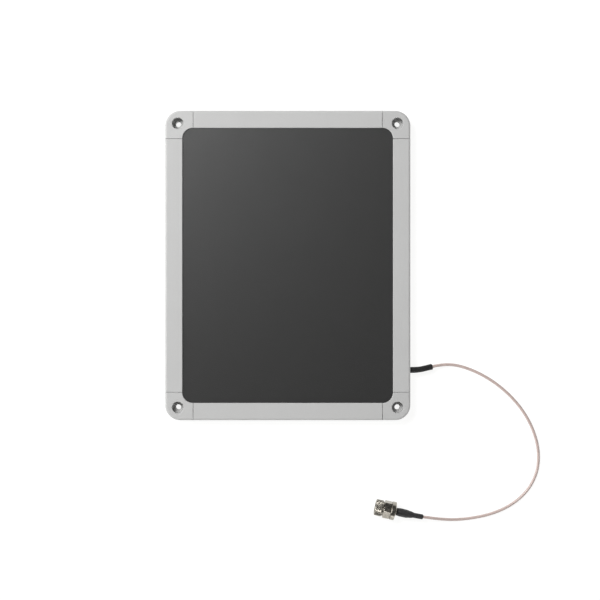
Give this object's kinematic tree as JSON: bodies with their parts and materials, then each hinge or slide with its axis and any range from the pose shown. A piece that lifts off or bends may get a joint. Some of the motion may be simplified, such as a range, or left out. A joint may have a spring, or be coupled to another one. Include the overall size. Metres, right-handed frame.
{
  "type": "flat-panel antenna",
  "caption": "Slim rectangular flat-panel antenna with a framed dark front, corner mounting holes and a short coaxial lead with a screw connector.",
  "frame": {"origin": "the middle of the rear face, on the surface that the panel lies on or is fixed to", "axes": "+Z is the way the front panel faces, +Y is up when the panel hangs upright, +X is to the right seen from the front; the lead leaves the +X side near the bottom"},
  "size_m": [0.3166, 0.3461, 0.0157],
  "materials": {
    "frame_plastic": "light grey, fine matt grain",
    "panel_sheet": "charcoal, fine texture, satin",
    "seal_foam": "black, matt",
    "cover_sheet": "brushed, clear anodised",
    "screw_steel": "bright zinc",
    "radiator_sheet": "bare",
    "post_metal": "bare",
    "post_plastic": "natural nylon",
    "board_laminate": "green solder mask",
    "pin_brass": "bare",
    "cable_jacket": "pinkish tan, translucent fluoropolymer",
    "clamp_plastic": "black nylon",
    "sleeve_black": "black heat-shrink",
    "nickel": "nickel plate, slightly dulled",
    "ferrule_nickel": "nickel plate",
    "ring_spring": "spring steel",
    "insulator_white": "white fluoropolymer",
    "contact_gold": "gold plate",
    "gasket_rubber": "red silicone"
  },
  "bodies": {
    "root": {"rail_top": "frame_plastic", "rail_bottom": "frame_plastic", "rail_left": "frame_plastic", "rail_right": "frame_plastic", "corner_top_left": "frame_plastic", "corner_top_right": "frame_plastic", "corner_bottom_left": "frame_plastic", "corner_bottom_right": "frame_plastic", "corner_screws": "screw_steel", "front_panel": "panel_sheet", "panel_seal": "seal_foam", "rear_cover": "cover_sheet", "rear_screws": "screw_steel", "patch_radiator": "radiator_sheet", "patch_centre_post": "post_metal", "patch_standoffs": "post_plastic", "patch_screws": "screw_steel", "feed_board": "board_laminate", "feed_board_screws": "screw_steel", "feed_pin": "pin_brass", "coax_lead_inner": "cable_jacket", "cable_clamp": "clamp_plastic", "clamp_screws": "screw_steel", "coax_cable": "cable_jacket", "exit_sleeve": "sleeve_black", "connector_boot": "sleeve_black", "crimp_ferrule": "ferrule_nickel", "connector_body": "nickel", "retaining_ring": "ring_spring", "insulator": "insulator_white", "centre_contact": "contact_gold", "face_gasket": "gasket_rubber"},
    "coupling_nut": {"coupling_nut": "nickel"}
  },
  "joints": [
    {"name": "nut_spin", "type": "hinge", "parent": "root", "child": "coupling_nut", "pos_m": [0.0736, -0.2034, 0.00785], "axis": [0.977, -0.213, 0], "continuous": true}
  ]
}
